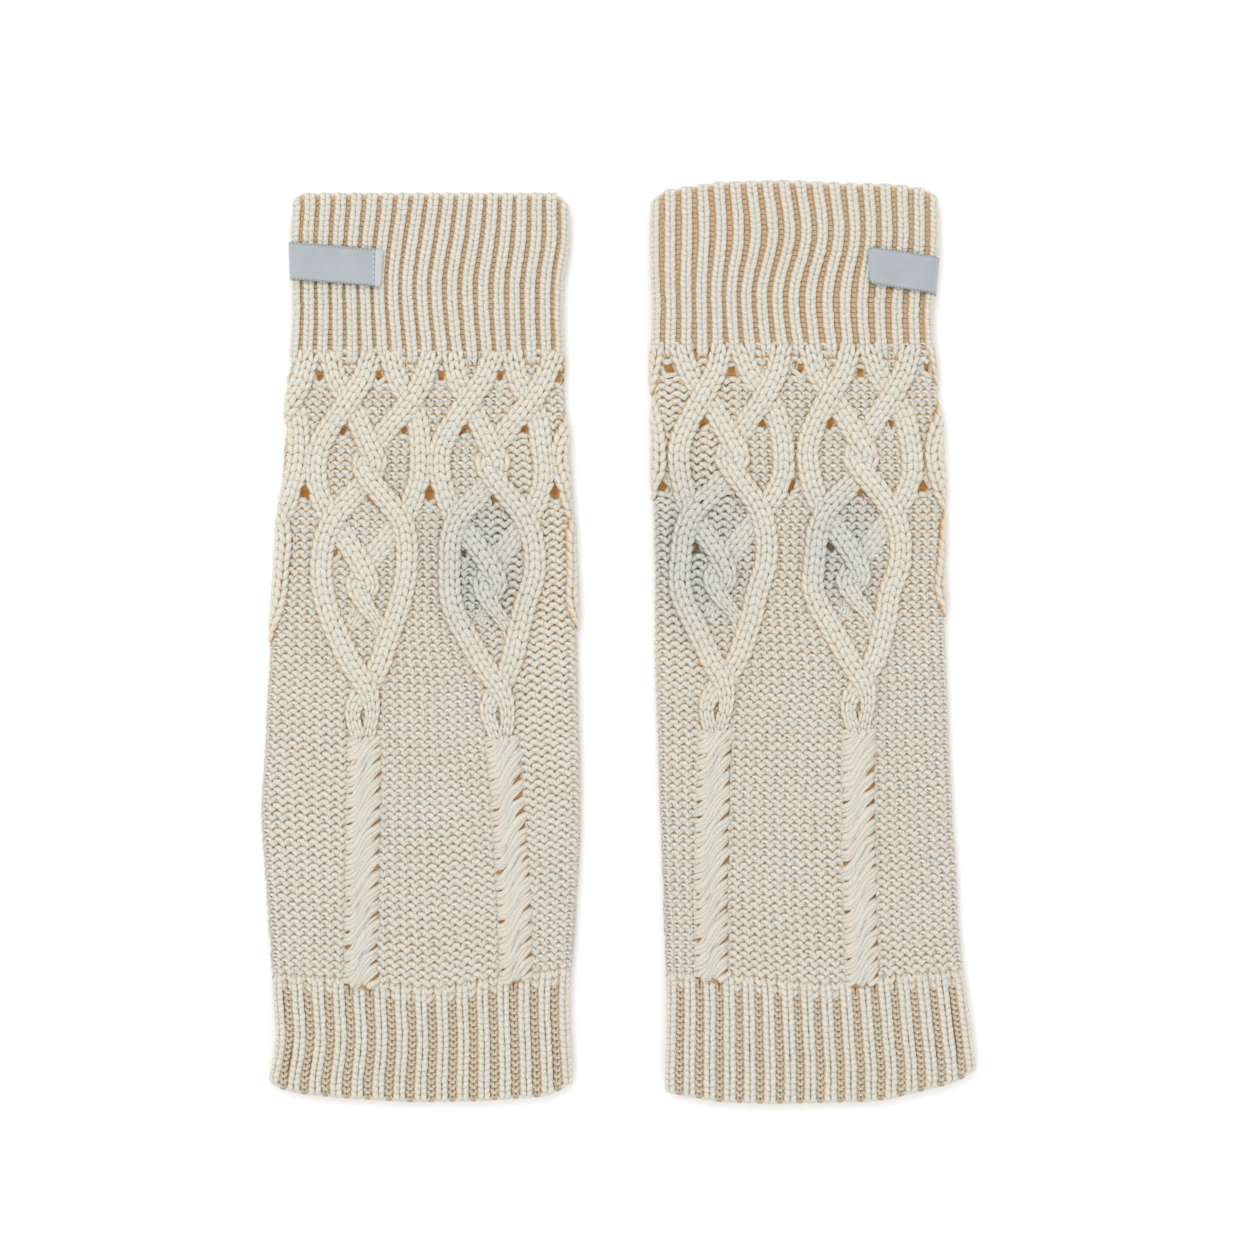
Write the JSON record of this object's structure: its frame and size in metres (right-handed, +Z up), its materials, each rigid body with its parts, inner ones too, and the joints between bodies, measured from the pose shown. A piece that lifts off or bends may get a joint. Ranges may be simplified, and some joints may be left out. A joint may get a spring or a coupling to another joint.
{
  "type": "pair of cable-knit leg warmers, laid flat",
  "caption": "Pair of footless knitted tubes laid flat side by side, with rib cuffs, cabled fronts and a side label on each upper cuff.",
  "frame": {"origin": "on the surface that the pair lies on, under the middle of the pair's bounding box", "axes": "+Z up, +Y from the lower cuffs to the upper cuffs along the warmers, +X from the left warmer to the right one as seen from above"},
  "size_m": [0.239, 0.3086, 0.0079],
  "materials": {
    "leg_knit": "matte undyed cream wool and cotton yarn",
    "cuff_knit": "matte undyed cream yarn in narrow rib",
    "hem_knit": "matte undyed cream yarn in wide rib",
    "label_satin": "pale grey woven satin tape"
  },
  "bodies": {
    "root": {"left_top_rib": "cuff_knit", "left_leg": "leg_knit", "left_bottom_rib": "hem_knit", "left_label": "label_satin", "right_top_rib": "cuff_knit", "right_leg": "leg_knit", "right_bottom_rib": "hem_knit", "right_label": "label_satin"}
  },
  "joints": []
}
